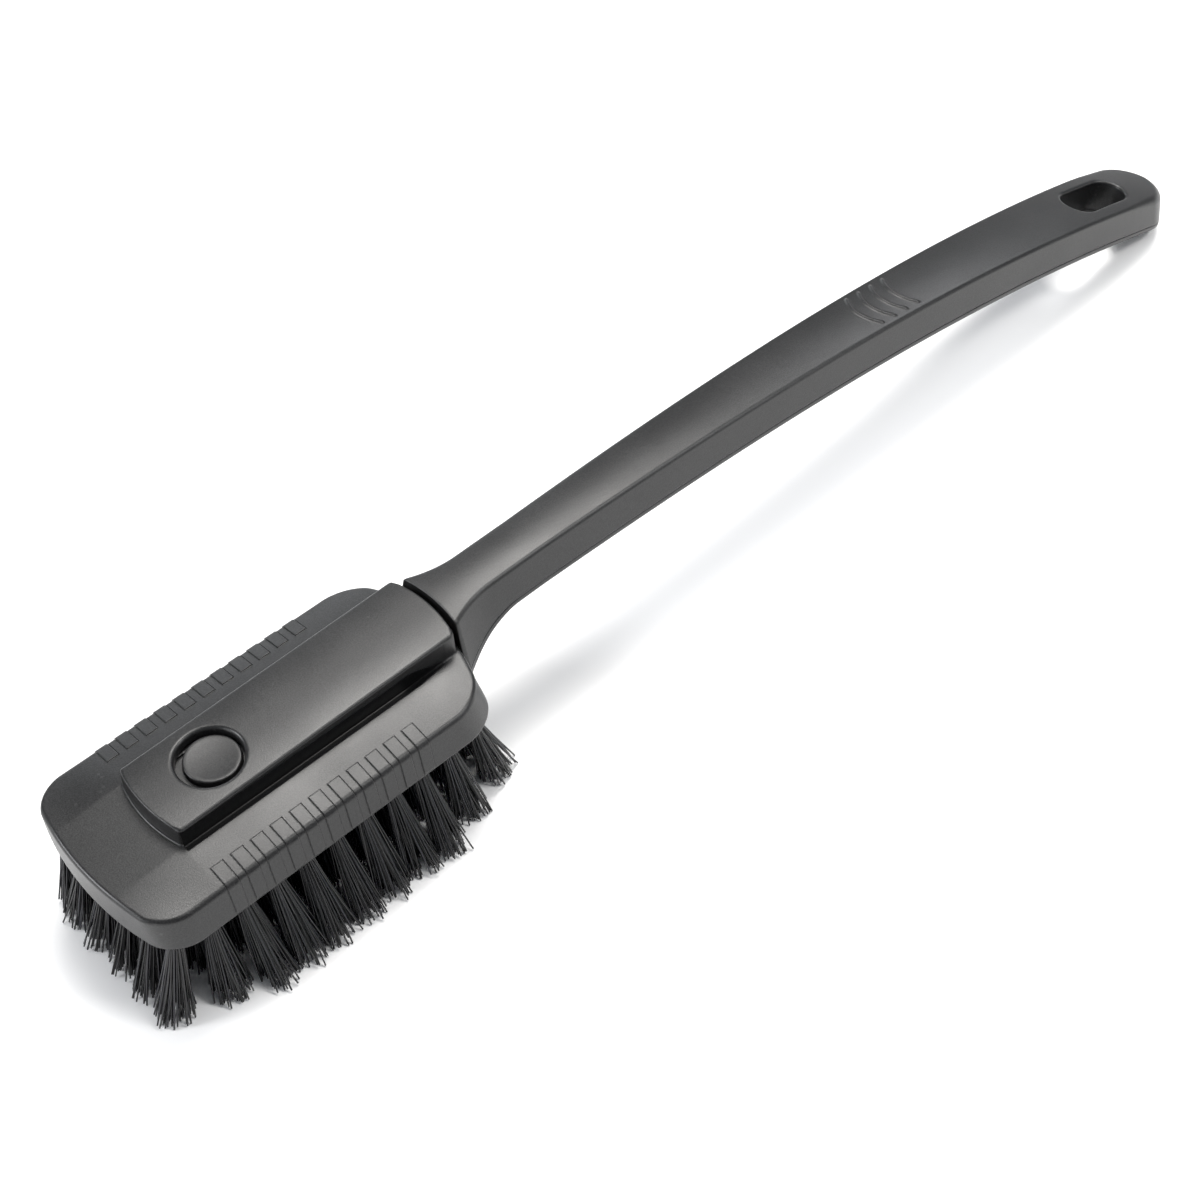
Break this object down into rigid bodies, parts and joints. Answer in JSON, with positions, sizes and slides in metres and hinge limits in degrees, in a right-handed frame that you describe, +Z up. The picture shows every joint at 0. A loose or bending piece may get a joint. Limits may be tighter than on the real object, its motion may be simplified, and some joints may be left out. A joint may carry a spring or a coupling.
{
  "type": "wheel brush",
  "caption": "Long-handled wheel brush: tufted block with a raised socket, curved hollow handle on a plug-in tang, and a sprung round release button.",
  "frame": {"origin": "middle of the object's length and width, on the plane that the bristle tips and the handle's tip rest on", "axes": "+X from the brush block to the handle's tip, +Y across the block, +Z up from the bristle tips to the back of the block"},
  "size_m": [0.4422, 0.078, 0.0505],
  "materials": {
    "body_plastic": "fine-grained dark grey moulding, satin at the edges",
    "button_plastic": "fine-grained dark grey moulding",
    "bristle": "black extruded filament, slightly glossy",
    "anchor_steel": "bare steel strip"
  },
  "bodies": {
    "head": {"brush_block": "body_plastic", "tuft_row_1": "bristle", "tuft_row_2": "bristle", "tuft_row_3": "bristle", "tuft_row_4": "bristle", "tuft_row_5": "bristle", "tuft_row_6": "bristle", "tuft_row_7": "bristle", "tuft_row_8": "bristle", "tuft_row_9": "bristle", "tuft_row_10": "bristle", "tuft_row_11": "bristle", "anchor_row_1": "anchor_steel", "anchor_row_2": "anchor_steel", "anchor_row_3": "anchor_steel", "anchor_row_4": "anchor_steel", "anchor_row_5": "anchor_steel", "anchor_row_6": "anchor_steel", "anchor_row_7": "anchor_steel", "anchor_row_8": "anchor_steel", "anchor_row_9": "anchor_steel", "anchor_row_10": "anchor_steel", "anchor_row_11": "anchor_steel"},
    "handle": {"handle_shell": "body_plastic", "handle_base": "body_plastic"},
    "latch": {"latch_tongue": "button_plastic"}
  },
  "joints": [
    {"name": "handle_release", "type": "slide", "parent": "head", "child": "handle", "axis": [1, 0, 0], "range_m": [0, 0.092], "deforming": ["latch_tongue"]},
    {"name": "button_press", "type": "hinge", "parent": "handle", "child": "latch", "pos_m": [-0.13401, 0, 0.0435], "axis": [0, -1, 0], "range_deg": [0, 3.4], "stiffness_Nm_per_rad": 6}
  ]
}
